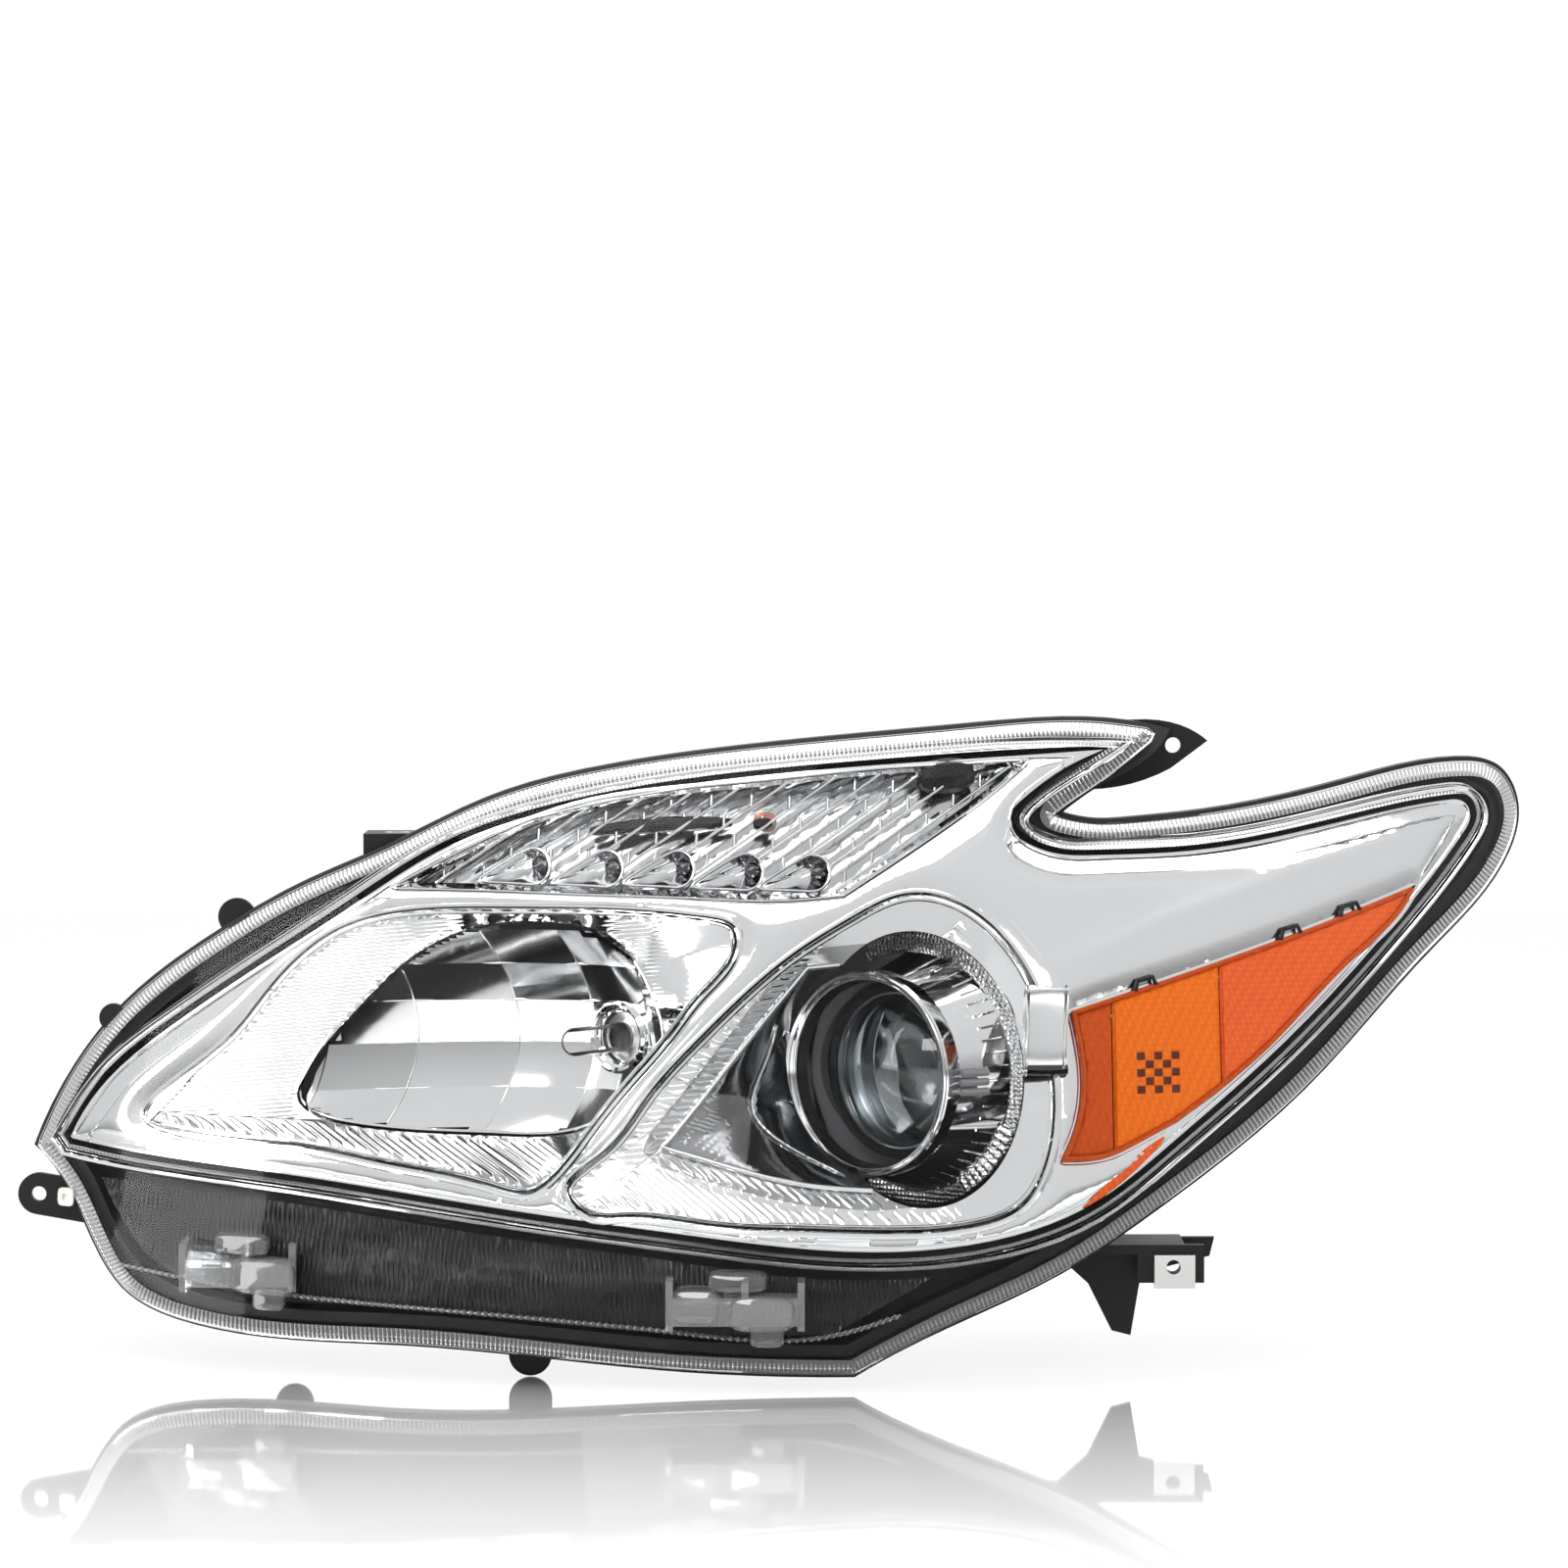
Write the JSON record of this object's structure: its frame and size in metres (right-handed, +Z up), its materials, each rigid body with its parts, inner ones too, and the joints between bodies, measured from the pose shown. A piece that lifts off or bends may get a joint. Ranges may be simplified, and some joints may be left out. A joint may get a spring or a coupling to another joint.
{
  "type": "car headlight assembly",
  "caption": "Swept-back left car headlight: clear stepped lens over a bright bezel, projector low beam, reflector high beam, turn signal cells and amber side reflector in a black housing.",
  "frame": {"origin": "centre of the upper bolt insert's top face, on the housing's upper inner boss", "axes": "+X outboard towards the fender, +Y rearward into the car so that the beams leave along -Y, +Z up along the upper bolt"},
  "size_m": [0.5017, 0.5086, 0.2719],
  "materials": {
    "clear_lens": "clear hard-coated polycarbonate",
    "black_housing": "moulded black, fine grain",
    "bright_trim": "vacuum-metallised, mirror bright",
    "black_trim": "ribbed black",
    "amber_plastic": "clear amber with prisms",
    "clear_inner": "clear moulded",
    "sealant": "cured butyl",
    "seal_rubber": "soft black",
    "zinc_steel": "zinc plated",
    "brass_insert": "turned",
    "cast_aluminium": "die cast",
    "projector_glass": "polished",
    "bulb_glass": "clear quartz",
    "amber_bulb_glass": "amber coated",
    "grey_plastic": "moulded grey",
    "nylon": "natural nylon"
  },
  "bodies": {
    "lamp": {"housing": "black_housing", "lens": "clear_lens", "lens_bracket_inner": "clear_lens", "lens_bracket_outer": "clear_lens", "lens_sealant": "sealant", "clip_nut": "zinc_steel", "bolt_insert": "brass_insert", "bezel": "bright_trim", "low_beam_pocket": "bright_trim", "projector_trim_ring": "bright_trim", "projector_shroud": "bright_trim", "halo_ring": "clear_inner", "lower_trim": "black_trim", "amber_reflector": "amber_plastic", "marker_reflector": "bright_trim", "turn_reflector": "bright_trim", "turn_inner_lens": "clear_inner", "accent_cups": "bright_trim", "accent_beads": "clear_inner", "vents": "seal_rubber", "pivot_studs": "zinc_steel"},
    "carrier": {"carrier_frame": "grey_plastic", "high_beam_reflector": "bright_trim", "projector_holder": "cast_aluminium", "projector_lens": "projector_glass", "projector_bowl": "cast_aluminium", "cutoff_shade": "zinc_steel", "projector_screws": "zinc_steel", "pivot_sockets": "nylon", "adjuster_socket": "nylon"},
    "aim_stud": {"adjuster_stud": "zinc_steel"},
    "aim_screw": {"adjuster_screw": "nylon"},
    "low_bulb": {"low_bulb_glass": "bulb_glass", "low_bulb_base": "grey_plastic", "low_bulb_seal": "seal_rubber"},
    "high_bulb": {"high_bulb_glass": "bulb_glass", "high_bulb_base": "grey_plastic", "high_bulb_seal": "seal_rubber"},
    "turn_lamp": {"turn_socket": "grey_plastic", "turn_socket_seal": "seal_rubber", "turn_bulb": "amber_bulb_glass"},
    "marker_lamp": {"marker_socket": "grey_plastic", "marker_socket_seal": "seal_rubber", "marker_bulb": "bulb_glass"},
    "low_cap": {"low_cap": "black_housing", "low_cap_seal": "seal_rubber"},
    "high_cap": {"high_cap": "black_housing", "high_cap_seal": "seal_rubber"}
  },
  "joints": [
    {"name": "aim_tilt", "type": "hinge", "parent": "lamp", "child": "carrier", "pos_m": [0.10251, 0.05208, -0.036], "axis": [0.766, 0.6428, 0], "range_deg": [-1.5, 1.5]},
    {"name": "aim_stud_slide", "type": "slide", "parent": "lamp", "child": "aim_stud", "axis": [-0.6428, 0.766, 0], "range_m": [-0.00245, 0.00245]},
    {"name": "aim_screw_turn", "type": "hinge", "parent": "lamp", "child": "aim_screw", "pos_m": [0.05454, 0.03924, -0.128], "axis": [-0.6428, 0.766, 0], "range_deg": [-365, 365]},
    {"name": "low_bulb_twist", "type": "hinge", "parent": "carrier", "child": "low_bulb", "pos_m": [0.20797, 0.17985, -0.097], "axis": [0, 1, 0], "range_deg": [0, 45]},
    {"name": "high_bulb_twist", "type": "hinge", "parent": "carrier", "child": "high_bulb", "pos_m": [0.10991, 0.03304, -0.084], "axis": [0, 1, 0], "range_deg": [0, 45]},
    {"name": "turn_socket_twist", "type": "hinge", "parent": "lamp", "child": "turn_lamp", "pos_m": [0.10895, 0.11752, 0.004], "axis": [-0.6428, 0.766, 0], "range_deg": [0, 45]},
    {"name": "marker_socket_twist", "type": "hinge", "parent": "lamp", "child": "marker_lamp", "pos_m": [0.2682, 0.27465, -0.07], "axis": [-0.6428, 0.766, 0], "range_deg": [0, 45]},
    {"name": "low_cap_twist", "type": "hinge", "parent": "lamp", "child": "low_cap", "pos_m": [0.20797, 0.22685, -0.097], "axis": [0, 1, 0], "range_deg": [0, 45]},
    {"name": "high_cap_twist", "type": "hinge", "parent": "lamp", "child": "high_cap", "pos_m": [0.10991, 0.13504, -0.084], "axis": [0, 1, 0], "range_deg": [0, 45]}
  ],
  "couplings": [
    {"joint": "aim_stud_slide", "follows": "aim_tilt", "m_per_rad": 0.092},
    {"joint": "aim_screw_turn", "follows": "aim_tilt", "ratio": 240}
  ]
}
